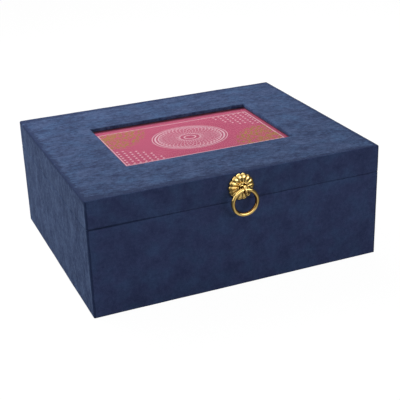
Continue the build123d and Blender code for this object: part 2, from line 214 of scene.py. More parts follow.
# %% [markdown]
# ## Floor, world and lamps
# The box stands on a pale floor before a white background. The white must not come from more
# light, or the navy would wash out, so floor and world glow white only to the rays that come
# from the camera, a mirror or a pane. A small share of the floor stays plain paper, which keeps
# the box's shadow. To other rays the world is a dim fill. A wide soft lamp behind lights the top
# most, one on the left lights the left side, and two weaker ones lift the shade in front.
# Polished metal shows the room more than the lamps, and in a room of one even white it looks
# like chalk. So the mirrored room has two dark bands and a bright white card, as are put round
# jewellery on show, and the mirrored floor is light only in a strip before the pull. The card
# lights nothing else.

# %% Floor
bpy.ops.object.select_all(action="DESELECT")
bpy.ops.mesh.primitive_plane_add(size=40)
floor = bpy.context.object
floor.name = "floor"
GLOW, MIRRORED_GLOW, STRIP_GLOW = 0.94, 0.06, 0.54        # shares of white in the floor
STRIP_MIDDLE, STRIP_FADES, STRIP_EDGE = 0.03, 0.05, 0.085        # metres to the right, and aside
floor_paper = new_finish("floor_paper", {"Roughness": 0.9, "Specular IOR Level": 0.0})
seen = floor_paper.node("LightPath", {}, {}, "Is Camera Ray")
mirrored = floor_paper.node("LightPath", {}, {}, "Is Glossy Ray")
aside = abs(floor_paper.axes()[0] - STRIP_MIDDLE)
before_pull = floor_paper.ease(aside, STRIP_EDGE, STRIP_FADES)
mirrored_white = mirrored * (before_pull * STRIP_GLOW + MIRRORED_GLOW)
paper = floor_paper.mix(seen, (0.6, 0.6, 0.6, 1), (0.9, 0.9, 0.9, 1))
floor_paper.paint({"Base Color": floor_paper.mix(mirrored, paper, (0.15, 0.15, 0.15, 1))})
white = floor_paper.node("Emission", {}, {"Color": (1, 1, 1, 1), "Strength": 1.04})
shaded = Wire(floor_paper, floor_paper.shader.outputs["BSDF"])
shown = floor_paper.node("MixShader", {}, {0: seen * GLOW + mirrored_white, 1: shaded, 2: white})
floor_paper.feed(floor_paper.tree.nodes["Material Output"].inputs["Surface"], shown)
floor.data.materials.append(floor_paper.owner)
print("floor", [round(x, 1) for x in floor.dimensions])

# %% World
if bpy.context.scene.world is None:
    bpy.context.scene.world = bpy.data.worlds.new("studio")
studio = Finish(bpy.context.scene.world, "Background", {"Color": (1, 1, 1, 1)})
rays = ["Is Camera Ray", "Is Glossy Ray", "Is Transmission Ray"]
camera_ray, glossy_ray, transmission_ray = [studio.node("LightPath", {}, {}, ray) for ray in rays]
plain_white = camera_ray.maths("MAXIMUM", camera_ray, transmission_ray)
right, _, up = studio.axes()
right_band = studio.ease(right, 0.55, 0.65) * studio.ease(up, 0.7, 0.6)
left_band = studio.ease(abs(right + 0.55), 0.18, 0.08) * studio.ease(up, 0.6, 0.5)
BAND_DARKNESS, WORLD_FILL = 0.85, 0.14
room = glossy_ray * (1 - (right_band + left_band) * BAND_DARKNESS)
lit = plain_white.maths("MAXIMUM", plain_white, room)
studio.paint({"Strength": lit.maths("MAXIMUM", lit, WORLD_FILL)})
print("world fill", WORLD_FILL)


# %% Lamps
def soft_lamp(name, towards, distance, size, watts):
    """A lamp of some width and height that shines on the box from a direction."""
    aim = Vector((0, 0, 0.05))
    bpy.ops.object.light_add(type="AREA", location=aim + Vector(towards).normalized() * distance)
    lamp = bpy.context.object
    lamp.name = name
    lamp.rotation_euler = (aim - lamp.location).to_track_quat("-Z", "Y").to_euler()
    lamp.data.shape = "RECTANGLE"
    lamp.data.size, lamp.data.size_y = size
    lamp.data.energy = watts
    lamp.visible_camera = False
    print(name, [round(x, 2) for x in lamp.location], watts, "W")
    return lamp


soft_lamp("back_lamp", (-0.15, 0.56, 0.81), 0.66, (1.05, 0.4), 5.4)
soft_lamp("left_lamp", (-0.9, 0.12, 0.26), 1.3, (0.8, 0.8), 4.2)
soft_lamp("front_lamp", (0.48, -0.85, 0.28), 1.4, (0.8, 0.35), 3.5)
soft_lamp("catch_lamp", (-0.5, -0.65, 0.5), 1.2, (0.25, 0.25), 0.5)
white_card = soft_lamp("white_card", (0.22, -0.9, 0.32), 1.3, (1.1, 0.6), 4.2)
white_card.visible_diffuse = False

# %% [markdown]
# ## Modelling by operators
# Each new piece starts as a primitive at its true size and is shaped in edit mode, as by hand.
# By hand one clicks on edges and faces. Here they are found by where they are, which also keeps
# working after a size changes. These few helpers open a piece, pick edges or faces by a test on
# their middle, and round what is picked. A finished piece has its place in its mesh.

# %% Helpers for shaping
def deselect():
    bpy.ops.object.select_all(action="DESELECT")


def only(piece):
    """Makes a piece the active one and the only one that is selected."""
    deselect()
    piece.select_set(True)
    bpy.context.view_layer.objects.active = piece


def settle(piece):
    """Puts a piece's place, turn and size into its mesh."""
    only(piece)
    bpy.ops.object.transform_apply(location=True, rotation=True, scale=True)


def block(name, low, high):
    """A block between two opposite corners."""
    deselect()
    low, high = Vector(low), Vector(high)
    bpy.ops.mesh.primitive_cube_add(size=1, location=(low + high) / 2, scale=high - low)
    piece = bpy.context.object
    piece.name = name
    settle(piece)
    return piece


def shape(piece):
    """Opens a piece in edit mode with nothing selected."""
    only(piece)
    bpy.ops.object.mode_set(mode="EDIT")
    bpy.ops.mesh.select_all(action="DESELECT")


def close():
    bpy.ops.object.mode_set(mode="OBJECT")


print("shaping helpers ready")


# %% Helpers for picking and rounding
def pick(kind, test, folded=False):
    """Selects the EDGEs or FACEs whose middle passes a test, or only the folded edges."""
    bpy.ops.mesh.select_mode(type=kind)
    bpy.ops.mesh.select_all(action="DESELECT")
    mesh = bmesh.from_edit_mesh(bpy.context.edit_object.data)
    found = [part for part in (mesh.edges if kind == "EDGE" else mesh.faces)
             if test(sum((point.co for point in part.verts), Vector()) / len(part.verts))
             and not (folded and part.calc_face_angle(0) < 0.5)]
    for part in found:
        part.select_set(True)
    bmesh.update_edit_mesh(bpy.context.edit_object.data)
    return len(found)


def at(value, *places):
    """Whether a coordinate is at one of some places, to a hundredth of a millimetre."""
    return any(abs(value - place) < 0.01 * MM for place in places)


def round_over(test, radius, steps):
    """Rounds the folds whose middle passes a test."""
    print("  folds rounded:", pick("EDGE", test, folded=True))
    bpy.ops.mesh.bevel(offset=radius, segments=steps, affect="EDGES", clamp_overlap=False)


def finish_with(piece, kind, **settings):
    """Adds a modifier and applies it."""
    only(piece)
    modifier = piece.modifiers.new(kind.lower(), kind)
    for name, value in settings.items():
        setattr(modifier, name, value)
    bpy.ops.object.modifier_apply(modifier=modifier.name)


def smooth(piece, degrees):
    """Shades a piece smooth but for its folds sharper than an angle."""
    only(piece)
    bpy.ops.object.shade_smooth_by_angle(angle=math.radians(degrees))


print("picking helpers ready")

# %% [markdown]
# ## Cloth shells
# The tray and the lid are boards wrapped in one thin cloth each. The cloth covers the outside,
# turns over the rim and is glued down inside. A cloth simulation would slide it about, and it is
# glued, so it is built as the wrapped form itself: a block whose open side is folded inwards.
# Every fold is then rounded, because cloth over board never makes a sharp edge.

# %% Sizes of the wrapped boards
lid_low, lid_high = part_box("lid_suede_wrap")
tray_low, tray_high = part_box("base_suede_wrap")
panel_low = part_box("lid_top_panel")[0]
HALF_X, HALF_Y = lid_high.x, lid_high.y
CLOTH = 0.6 * MM
CORNER = 1.4 * MM
TOP_EDGE = 1.3 * MM
RIM_EDGE = 0.5 * MM
WALL = 7.2 * MM
TURN_IN = 14 * MM
WINDOW_X, WINDOW_Y = 74.0, 48.6        # half the window, in millimetres
print("outside, mm", [round(2 * x / MM, 1) for x in (HALF_X, HALF_Y)])


# %% Helpers for folding and cutting the cloth
def on_outside(point):
    return at(abs(point.x), HALF_X) or at(abs(point.y), HALF_Y)


def fold_in(level, upwards):
    """Folds the open side at a level over the rim and along the inside of the wall."""
    pick("EDGE", lambda point: at(point.z, level) and on_outside(point))
    bpy.ops.mesh.extrude_region_move()
    bpy.ops.transform.resize(value=((HALF_X - WALL) / HALF_X, (HALF_Y - WALL) / HALF_Y, 1),
                             center_override=(0, 0, level))
    bpy.ops.mesh.extrude_region_move(TRANSFORM_OT_translate={"value": (0, 0, upwards)})


def cut(axis, place):
    """Cuts the whole mesh by a plane square to an axis."""
    bpy.ops.mesh.select_all(action="SELECT")
    normal = [float(axis == index) for index in range(3)]
    bpy.ops.mesh.bisect(plane_co=[place * step for step in normal], plane_no=normal)


def grid(low, high, step):
    """Cuts the mesh into even patches, clear of the rounded edges."""
    for axis in range(3):
        for number in range(math.ceil(low[axis] / step), math.floor(high[axis] / step) + 1):
            cut(axis, number * step)


def slight_lumps(piece, lump, depth):
    """Lets the cloth rise and sink a little, as glue and board do under it."""
    clouds = bpy.data.textures.new(piece.name + "_lumps", "CLOUDS")
    clouds.noise_scale = lump
    clouds.noise_depth = 1
    finish_with(piece, "DISPLACE", texture=clouds, texture_coords="LOCAL", strength=depth,
                mid_level=0.5)


print("cloth helpers ready")

# %% Lid cloth: window, folds and rounded edges
lid_cloth = block("lid_suede_cloth", lid_low, lid_high)
window_low = Vector((-WINDOW_X, -WINDOW_Y, 0)) * MM
window_high = Vector((WINDOW_X, WINDOW_Y, 0)) * MM
shape(lid_cloth)
for axis, places in enumerate(zip(window_low.xy, window_high.xy)):
    for place in places:
        cut(axis, place)


def in_window(point):
    return abs(point.x) < window_high.x + 0.01 * MM and abs(point.y) < window_high.y + 0.01 * MM


pick("FACE", lambda point: at(point.z, lid_low.z))
bpy.ops.mesh.delete(type="FACE")
pick("FACE", lambda point: at(point.z, lid_high.z) and in_window(point))
bpy.ops.mesh.delete(type="FACE")
pick("EDGE", lambda point: at(point.z, lid_high.z) and in_window(point))
down = (0, 0, panel_low.z - lid_high.z)
bpy.ops.mesh.extrude_region_move(TRANSFORM_OT_translate={"value": down})
fold_in(lid_low.z, TURN_IN)
round_over(lambda point: at(abs(point.x), HALF_X) and at(abs(point.y), HALF_Y), CORNER, 5)
round_over(lambda point: at(point.z, lid_high.z) and not in_window(point), TOP_EDGE, 5)
round_over(lambda point: at(point.z, lid_high.z) and in_window(point), 1.0 * MM, 3)
round_over(lambda point: at(point.z, lid_low.z), RIM_EDGE, 3)
close()
print("lid cloth", len(lid_cloth.data.polygons), "faces")

# %% Tray cloth: the same folds, with the open side up
tray_cloth = block("tray_suede_cloth", tray_low, tray_high)
shape(tray_cloth)
pick("FACE", lambda point: at(point.z, tray_high.z))
bpy.ops.mesh.delete(type="FACE")
fold_in(tray_high.z, -TURN_IN)
pick("FACE", lambda point: at(point.z, tray_low.z))
bpy.ops.mesh.inset(thickness=12 * MM)
bpy.ops.mesh.delete(type="FACE")
round_over(lambda point: at(abs(point.x), HALF_X) and at(abs(point.y), HALF_Y), CORNER, 5)
round_over(lambda point: at(point.z, tray_high.z), RIM_EDGE, 3)
round_over(lambda point: at(point.z, tray_low.z), RIM_EDGE, 2)
close()
print("tray cloth", len(tray_cloth.data.polygons), "faces")

# %% Even patches, slight lumps and the cloth's thickness
for cloth, low, high in ((lid_cloth, lid_low, lid_high), (tray_cloth, tray_low, tray_high)):
    shape(cloth)
    grid(low + Vector((3, 3, 2)) * MM, high - Vector((3, 3, 2.5)) * MM, 4 * MM)
    bpy.ops.mesh.select_all(action="SELECT")
    bpy.ops.mesh.normals_make_consistent(inside=False)
    close()
    finish_with(cloth, "SUBSURF", subdivision_type="SIMPLE", levels=1, render_levels=1)
    slight_lumps(cloth, 0.022, 0.22 * MM)
    finish_with(cloth, "SOLIDIFY", thickness=CLOTH, offset=-1)
    bpy.ops.object.shade_smooth()
    print(cloth.name, len(cloth.data.polygons), "faces")

# %% [markdown]
# ## Suede
# Brushed suede is a short nap that lies in the direction of the last stroke, so its colour runs
# in fine streaks, with soft clouds where the strokes change. One set of noises in space does all
# faces. They are stretched along X and Z and fine along Y, so the top gets streaks along the box,
# the ends get upright ones and the front shows only their soft broad side, as a woven back does.
# Where the cloth is folded over the ends of the top its nap is pressed, so it is darker, in narrow
# strips that are worn away here and there. Painted shade darkens a strip along the front and back
# edges of the top, deeper towards the left, and the upright corners, where pressed nap adds a
# little. A painted shadow lies along the front's seam towards the left, where the lid overhangs the
# tray, and the lid's front and back are painted a little darker than the tray's. The lid's ends
# are paler beside the corners, and the top is a little paler close round the window. A finer, even
# noise is the nap itself, and it also gives the bumps.

# %% Suede: where its faces, folds and painted shade are, in millimetres
suede = new_finish("brushed_navy_suede", {"Specular IOR Level": 0.12, "Sheen Weight": 0.05,
                                          "Sheen Roughness": 0.4, "Sheen Tint": (0.55, 0.68, 1.0, 1)})
x, y, z = [axis / MM for axis in suede.axes()]
from_end = HALF_X / MM - abs(x)
from_front = HALF_Y / MM - abs(y)
below_top = lid_high.z / MM - z
broad_side = suede.ease(from_front, 1.6, 0.5)
end_side = suede.ease(from_end, 1.6, 0.5)
wander = suede.noise((150, 150, 110), 3.0, 0.6) - 0.5
worn = suede.ease(suede.noise((80, 80, 80), 2.0), 0.26, 0.5)
top_fold = suede.ease(from_end + below_top * 1.6 + wander * 10, 5.0, 1.2) * worn
# Painted shade along the front and back edges of the top, deeper towards the left.
front_edge_shade = suede.ease(from_front + x * 0.014 + below_top * 1.5 + wander * 9, 7.6, 4.8)
# Pressed nap plus painted shade on the upright corners.
corner_shade_and_fold = suede.ease(from_end + from_front + wander, 1.9, 1.2)
SEAM = 23.0
on_lid = suede.ease(below_top, SEAM + 0.3, SEAM - 0.2)
# Painted shadow along the seam towards the left, where the lid overhangs the tray.
seam_shadow = suede.ease(abs(below_top - (SEAM + 0.1)), 1.3, 0.5) * suede.ease(x, -45, -120)
beside_corner = suede.ease(from_front, 5.5, 3.5) * suede.ease(from_end, 1.5, 0.6) * on_lid
around_window = suede.ease(abs(x) - WINDOW_X, 9, 2) * suede.ease(abs(y) - WINDOW_Y, 9, 2)
print("suede places", len(suede.tree.nodes), "nodes")

# %% Suede: strokes, clouds and nap
bend = suede.noise((60, 60, 60), 2.0)
crumple = suede.noise((330, 420, 330), 3.0, 0.65)
streaks = suede.noise((150, 520, 105), 4.0, 0.7)
patches = suede.noise((60, 110, 55), 3.0, 0.6)
nap = suede.noise((1000, 1000, 1000), 2.0, 0.6)
brushed = (streaks - 0.5) * 1.5 + (crumple - 0.5) * 1.75 + (patches - 0.5) * 1.4 + 0.44
# Pressed nap and painted shade at the folds, less a paler band beside the lid's corners.
folds_and_shade = corner_shade_and_fold * 0.95 + top_fold * 0.64 + front_edge_shade * 0.5 - beside_corner * 0.3
brushed = brushed - folds_and_shade + around_window * 0.12
plain = (bend - 0.5) * 0.7 + (patches - 0.5) * 0.4 + (crumple - 0.5) * 0.6 + 0.45
# On the broad sides: painted shade on the corners and in the seam's shadow, and the lid's part
# painted a little darker than the tray's.
plain = plain - corner_shade_and_fold * 0.5 - seam_shadow * 0.4 - on_lid * 0.06
NAP_ON_TOP, LESS_IN_FRONT = 0.9, 0.4
tone = brushed + (plain - brushed) * broad_side
tone = tone + (nap - 0.5) * (NAP_ON_TOP - broad_side * LESS_IN_FRONT)
teal = suede.ease(bend, 0.4, 0.65)
brushed_navy = suede.mix(teal, (0.071, 0.109, 0.223, 1), (0.061, 0.113, 0.236, 1))
plain_navy = suede.mix(teal, (0.080, 0.102, 0.256, 1), (0.067, 0.110, 0.256, 1))
brushed_navy = suede.mix(end_side, brushed_navy, (0.076, 0.119, 0.232, 1))
light_navy = suede.mix(broad_side, brushed_navy, plain_navy)
navy = suede.mix(suede.ease(tone, -0.15, 1.1), (0.020, 0.034, 0.092, 1), light_navy)
suede.paint({"Base Color": navy, "Roughness": 0.95 - nap * 0.15})
suede.relief(nap * 0.4 + crumple * 0.3 + streaks * 0.3, 0.4 * MM)
print("suede", len(suede.tree.nodes), "nodes")


# %% Pieces that take a CAD piece's place, and CAD pieces that keep it
def stands_for(piece, finish, *nodes):
    """A finished piece rides with the first node's body and replaces the nodes."""
    piece.data.materials.clear()
    piece.data.materials.append(finish.owner)
    node = frame["nodes"][nodes[0]]
    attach(piece, node["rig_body"])
    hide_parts(*nodes)
    print(piece.name, "stands for", ", ".join(nodes))


def dress(finish, *nodes):
    """A CAD piece keeps its own mesh and gets a better material."""
    for name in nodes:
        for slot in frame["nodes"][name].material_slots:
            slot.material = finish.owner
    print(finish.owner.name, "on", ", ".join(nodes))


slots = {part["node"]: part["material_slot"] for part in frame["record"]["subparts"]}
stands_for(lid_cloth, suede, "lid_suede_wrap")
stands_for(tray_cloth, suede, "base_suede_wrap")

# %% [markdown]
# ## Boards, linings and felt
# The boards are fibreboard and hardly show, so they keep their CAD meshes and only get a finish of
# pressed fibres. The linings are thin cards covered in flock, a short dark pile, so their edges
# are soft. Each starts as a block of its CAD piece's size. Its edges are rounded, and the wide
# faces are cut into patches that lift very slightly, as covered card does.

# %% Flock and felt finishes
flock = new_finish("navy_flock", {"Specular IOR Level": 0.2, "Sheen Weight": 0.15,
                                  "Sheen Roughness": 0.5, "Sheen Tint": (0.6, 0.7, 1.0, 1)})
pile = flock.noise((1300, 1300, 1300), 2.0, 0.7)
brushed = flock.noise((45, 45, 45), 2.0)
flock.paint({"Base Color": flock.mix(pile * 0.5 + brushed * 0.5, (0.014, 0.021, 0.055, 1),
                                     (0.042, 0.058, 0.125, 1)),
             "Roughness": 0.97 - brushed * 0.08})
flock.relief(pile, 0.25 * MM)

felt = new_finish("black_felt", {"Specular IOR Level": 0.15})
fibres = felt.noise((700, 500, 700), 4.0, 0.7)
lumps = felt.noise((60, 60, 60), 2.0)
felt.paint({"Base Color": felt.mix(fibres * 0.7 + lumps * 0.3, (0.008, 0.009, 0.014, 1),
                                   (0.045, 0.047, 0.06, 1)),
            "Roughness": 0.98 - fibres * 0.06})
felt.relief(fibres, 0.3 * MM)
print("flock and felt", len(flock.tree.nodes), len(felt.tree.nodes), "nodes")

# %% Fibreboard and hardboard finishes
fibreboard = new_finish("pressed_fibreboard", {"Specular IOR Level": 0.3})
dust = fibreboard.noise((1500, 1500, 1500), 3.0, 0.7)
pressed = fibreboard.noise((120, 120, 900), 2.0)
fibreboard.paint({"Base Color": fibreboard.mix(dust * 0.6 + pressed * 0.4, (0.36, 0.24, 0.14, 1),
                                               (0.58, 0.43, 0.28, 1)),
                  "Roughness": 0.85 - dust * 0.1})
fibreboard.relief(dust, 0.1 * MM)

hardboard = new_finish("hardboard", {"Specular IOR Level": 0.4})
strands = hardboard.noise((260, 420, 260), 4.0, 0.75)
stains = hardboard.noise((30, 30, 30), 3.0)
specks = hardboard.ease(hardboard.noise((900, 900, 900), 1.0), 0.66, 0.78)
board_brown = hardboard.mix(strands * 0.6 + stains * 0.4, (0.13, 0.075, 0.04, 1),
                            (0.30, 0.19, 0.11, 1))
hardboard.paint({"Base Color": hardboard.mix(specks * 0.6, board_brown, (0.07, 0.04, 0.025, 1)),
                 "Roughness": 0.45 + strands * 0.3})
hardboard.relief(strands, 0.12 * MM)
dress(fibreboard, *[name for name, slot in slots.items() if slot == "fibreboard"])
dress(hardboard, "backing_board")


# %% Covered cards
def covered_card(name, node, finish, edge, lift):
    """A block of a CAD piece's size, with soft edges and faces that lift slightly."""
    low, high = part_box(node)
    card = block(name, low, high)
    shape(card)
    bpy.ops.mesh.select_all(action="SELECT")
    bpy.ops.mesh.bevel(offset=edge, segments=3, affect="EDGES")
    grid(low + Vector((2, 2, 2)) * MM, high - Vector((2, 2, 2)) * MM, 8 * MM)
    close()
    slight_lumps(card, 0.03, lift)
    bpy.ops.object.shade_smooth()
    stands_for(card, finish, node)


for side in ("front", "back", "left", "right"):
    covered_card("tray_lining_" + side, "base_lining_" + side, flock, 0.5 * MM, 0.12 * MM)
    covered_card("lid_lining_cover_" + side, "lid_lining_" + side, flock, 0.5 * MM, 0.12 * MM)
covered_card("tray_floor_pad", "base_floor_pad", flock, 0.8 * MM, 0.3 * MM)

# %% Felt under the box, and the ceiling lining
felt_low, felt_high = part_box("bottom_felt")
felt_sheet = block("underside_felt", felt_low, felt_high)
shape(felt_sheet)
round_over(lambda point: at(abs(point.x), felt_high.x) and at(abs(point.y), felt_high.y),
           CORNER, 4)
round_over(lambda point: at(point.z, felt_low.z), 0.3 * MM, 2)
grid(felt_low + Vector((3, 3, 2)) * MM, felt_high - Vector((3, 3, 2)) * MM, 10 * MM)
close()
smooth(felt_sheet, 50)
stands_for(felt_sheet, felt, "bottom_felt")
dress(flock, "lid_ceiling_lining")

# %% [markdown]
# ## Printed card and its pane
# The card lies under a clear pane. Its print is a drawing in sums: the distance from a curve,
# eased from 1 on the curve to 0 beside it, is an inked line. A medallion of crossing waves sits
# in the middle, gold fans open from two corners, dots fill the other two and a fine frame runs
# round. An image could hold the print, but sums stay sharp at any size. The pane is the shader's
# own clear skin: almost no alpha face on, more at a glancing angle, as real acrylic mirrors more.

# %% Print: places on the card in millimetres, and inked lines
card = new_finish("printed_rose_card", {"Specular IOR Level": 0.04})
x, y, z = [axis / MM for axis in card.axes()]


def inked(distance, half_width):
    """1 on a line and 0 beside it, from the distance to its middle."""
    return 1 - card.ease(distance, half_width * 0.6, half_width * 1.4)


def joined(lines):
    """Several inked lines as one: the strongest wins where they cross."""
    total = lines[0]
    for line in lines[1:]:
        total = total.maths("MAXIMUM", total, line)
    return total


def length(across, along):
    """The straight distance of two steps square to each other."""
    return card.maths_of("SQRT", across * across + along * along)


card_low, card_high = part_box("photo_card")
print("card, mm", [round((b - a) / MM, 1) for a, b in zip(card_low, card_high)])

# %% Print: medallion
FRAME_X, FRAME_Y = 70.6, 38.9
radius = length(x, y * 1.2)
angle = card.maths_of("ARCTAN2", y * 1.2, x)
WAVES, WAVE_MIDDLE, WAVE_DEPTH = 7, 18.5, 9.5
swings = [card.maths_of("COSINE", angle * WAVES + step * math.pi / 3) for step in range(6)]
waves = joined([inked(abs(radius - WAVE_MIDDLE - swing * WAVE_DEPTH), 0.55) for swing in swings])
rings = inked(abs(radius - 30.5), 0.7) + inked(abs(radius - 33.2), 0.35)
rings = rings + inked(abs(radius - 5.0), 0.6)
print("medallion nodes", len(card.tree.nodes))

# %% Print: gold fans, dots and frame
from_side, from_top = FRAME_X - abs(x), FRAME_Y - abs(y)
inside = (from_side > 0) * (from_top > 0)
corner = length(from_side, from_top)
bearing = card.maths_of("ARCTAN2", from_top, from_side)
SCALLOPS, SCALLOP_DEPTH, ARC_STEP, RAY_STEP, DOT_STEP = 12, 2.4, 5.2, 0.1309, 5
scallops = abs(card.maths_of("SINE", bearing * SCALLOPS)) * SCALLOP_DEPTH
arcs = inked(abs((corner - scallops) % ARC_STEP - ARC_STEP / 2), 0.95)
rays = inked(abs(bearing % RAY_STEP - RAY_STEP / 2) * corner, 0.55) * (corner > 8)
blotches = card.ease(card.noise((210, 210, 210), 3.0), 0.36, 0.5)
fans = joined([arcs, rays]) * card.ease(corner, 42, 38) * (x * y < 0) * inside * blotches
from_dot = length(from_side % DOT_STEP - DOT_STEP / 2, from_top % DOT_STEP - DOT_STEP / 2)
dots = inked(from_dot, 0.95) * (corner < 34) * (x * y > 0) * inside
edge = from_side.maths("MINIMUM", from_side, from_top)
frame_line = inked(abs(edge), 0.42)
print("print nodes", len(card.tree.nodes))

# %% Print: inks on the rose ground, and the pane over it
tint = card.noise((40, 40, 40), 2.0)
grain = card.noise((1600, 1600, 1600), 2.0)
rose = card.mix(tint, (0.535, 0.092, 0.180, 1), (0.615, 0.122, 0.222, 1))
pale_ink = joined([waves, rings, dots, frame_line])
with_pale = card.mix(pale_ink * 0.9, rose, (0.86, 0.62, 0.68, 1))
with_gold = card.mix(fans * 0.92, with_pale, (0.36, 0.20, 0.03, 1))
printed_side = z > card_high.z / MM - 0.05
card.paint({"Base Color": card.mix(printed_side, (0.80, 0.78, 0.74, 1), with_gold),
            "Roughness": 0.65 - fans * 0.15 + grain * 0.1, "Metallic": fans * printed_side * 0.2})
card.relief(grain + fans * 0.4, 0.03 * MM)

acrylic = new_finish("clear_acrylic_pane", {"Base Color": (0.2, 0.22, 0.25, 1), "Roughness": 0.04,
                                            "Specular IOR Level": 0.5})
glance = acrylic.node("LayerWeight", {}, {"Blend": 0.35}, "Fresnel")
acrylic.paint({"Alpha": glance * 0.12 + 0.02})
dress(card, "photo_card")
dress(acrylic, "window_pane")

# %% [markdown]
# ## Brass
# Metal is the reflections in it, so its finishes differ mostly in roughness. The pull is polished
# and lacquered gold. Painted shade, with a little grime, darkens the valleys between its petals and
# its dish, and a painted dark reflection runs along the inner side of its ring. The hinges, screws
# and turn buttons are satin brass plate, finely brushed along the hinge.

# %% Polished brass, with painted shade and some grime in the petal valleys and the dish, and a painted dark reflection inside the ring
rosette_low, rosette_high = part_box("pull_rosette")
PULL_HEIGHT = (rosette_low.z + rosette_high.z) / 2
PETALS, BEADS = 14, 8
RING_DROP, EYE_OUT = 10.3, 8        # from the eye to the ring's middle, and out from the lid, in mm
ROSETTE_ENDS, RING_STARTS = 4.6, 6.2        # out from the lid, in millimetres
polished = new_finish("polished_gold_brass", {"Metallic": 1.0})
x, y, z = [axis / MM for axis in polished.axes()]
rise = z - PULL_HEIGHT / MM
out = polished.maths_of("SQRT", x * x + rise * rise)
round_about = polished.maths_of("ARCTAN2", rise, x)
step = math.tau / PETALS
from_valley = abs(round_about % step - step / 2) * out
valleys = polished.ease(from_valley, 0.85, 0.2) * polished.ease(out, 3.9, 4.8)
dish = polished.ease(abs(out - 3.0), 1.1, 0.6)
on_rosette = y > rosette_high.y / MM - ROSETTE_ENDS
# Painted shade, with a little grime, in the petal valleys and the dish.
crease_shade_and_grime = dish.maths("MAXIMUM", valleys * 0.6, dish) * on_rosette
# Painted dark reflection along the inner side of the ring.
down_ring = z - PULL_HEIGHT / MM + RING_DROP
from_ring_middle = polished.maths_of("SQRT", x * x + down_ring * down_ring)
inner_ring_dark_reflection = polished.ease(from_ring_middle, 10.0, 9.1) * (y < rosette_high.y / MM - RING_STARTS)
smears = polished.noise((170, 170, 170), 3.0)
gold = polished.mix(smears, (0.62, 0.41, 0.125, 1), (0.80, 0.585, 0.22, 1))
gold = polished.mix(inner_ring_dark_reflection * 0.9, gold, (0.22, 0.10, 0.03, 1))
polished.paint({"Base Color": polished.mix(crease_shade_and_grime * 0.85, gold, (0.09, 0.04, 0.012, 1)),
                "Roughness": 0.06 + smears * 0.07 + crease_shade_and_grime * 0.35})
print("polished brass", len(polished.tree.nodes), "nodes")

# %% Satin brass
satin = new_finish("satin_brass", {"Metallic": 1.0})
brushing = satin.noise((150, 150, 2600), 3.0, 0.7)
dulling = satin.noise((90, 90, 90), 3.0)
satin.paint({"Base Color": satin.mix(dulling, (0.58, 0.40, 0.17, 1), (0.78, 0.58, 0.28, 1)),
             "Roughness": 0.26 + brushing * 0.14 + dulling * 0.1})
satin.relief(brushing, 0.03 * MM)
print("satin brass", len(satin.tree.nodes), "nodes")

# %% [markdown]
# ## Round pieces
# Screws, washer, post and the rosette's plate are turned on a lathe. Blender's Spin would make
# them from a profile, but growing a ring does the same with two tools that are used everywhere:
# extrude the ring to the next height and scale it to the next radius. Copies of what repeats,
# such as petals and screws, each get their own mesh and their place in it.

# %% Helpers for turned pieces and copies
def turned(name, profile, sides):
    """A closed round piece from its profile: pairs of radius and height, in millimetres."""
    deselect()
    (radius, height), *rest = profile
    closed = profile[-1] == profile[0]
    bpy.ops.mesh.primitive_circle_add(vertices=sides, radius=radius * MM,
                                      location=(0, 0, height * MM),
                                      fill_type="NOTHING" if closed else "NGON")
    piece = bpy.context.object
    piece.name = name
    settle(piece)
    shape(piece)
    bpy.ops.mesh.select_mode(type="EDGE")
    bpy.ops.mesh.select_all(action="SELECT")
    for next_radius, next_height in rest:
        step = (0, 0, (next_height - height) * MM)
        bpy.ops.mesh.extrude_region_move(TRANSFORM_OT_translate={"value": step})
        grow = next_radius / radius
        bpy.ops.transform.resize(value=(grow, grow, 1), center_override=(0, 0, next_height * MM))
        radius, height = next_radius, next_height
    bpy.ops.mesh.select_all(action="SELECT")
    bpy.ops.mesh.remove_doubles(threshold=0.001 * MM)
    bpy.ops.mesh.normals_make_consistent(inside=False)
    close()
    return piece


def copies(piece, places):
    """Joins one copy of a piece for each place into one piece, and drops the original."""
    made = []
    for place in places:
        copy = piece.copy()
        copy.data = piece.data.copy()
        copy.data.transform(place)
        bpy.context.collection.objects.link(copy)
        made.append(copy)
    name = piece.name
    bpy.data.objects.remove(piece)
    joined_copy = join(made)
    joined_copy.name = name
    return joined_copy


def join(pieces):
    """Joins pieces into the first of them."""
    deselect()
    for piece in pieces:
        piece.select_set(True)
    bpy.context.view_layer.objects.active = pieces[0]
    bpy.ops.object.join()
    return pieces[0]


print("turning and copying helpers ready")

# %% [markdown]
# ## Ring pull
# The pull is cast: a rosette of petals, a post with an eye, and a ring that hangs in the eye.
# Sculpting could shape a petal, but a measured one can be copied evenly all round. It starts as
# a ball, which is stretched, tapered towards the middle by a Simple Deform modifier, tipped
# outwards and cut flat underneath. The petals run up to a low crown of beads round the dish in
# which the post's collar sits. All is made lying flat, with its front up, and then put on the lid.

# %% Rosette: plate and petals
plate = turned("pull_rosette_cast", [(1.6, 0), (10.2, 0), (10.3, 0.5), (9.4, 1.5), (7.4, 2.6),
                                     (5.9, 2.9), (5.0, 3.2), (4.2, 3.6), (3.6, 3.4), (2.6, 2.0),
                                     (2.4, 1.6), (1.6, 1.6), (1.6, 0)], 56)
deselect()
bpy.ops.mesh.primitive_uv_sphere_add(segments=20, ring_count=14, radius=1,
                                     rotation=(math.radians(90), 0, 0))
petal = bpy.context.object
settle(petal)
petal.scale = (2.7 * MM, 4.45 * MM, 1.9 * MM)
settle(petal)
finish_with(petal, "SIMPLE_DEFORM", deform_method="TAPER", deform_axis="Y", factor=1.0)
petal.rotation_euler.x = math.radians(-19)
petal.location = (0, 6.75 * MM, 1.75 * MM)
settle(petal)
shape(petal)
bpy.ops.mesh.select_all(action="SELECT")
bpy.ops.mesh.bisect(plane_co=(0, 0, 0.02 * MM), plane_no=(0, 0, 1), use_fill=True, clear_inner=True)
close()
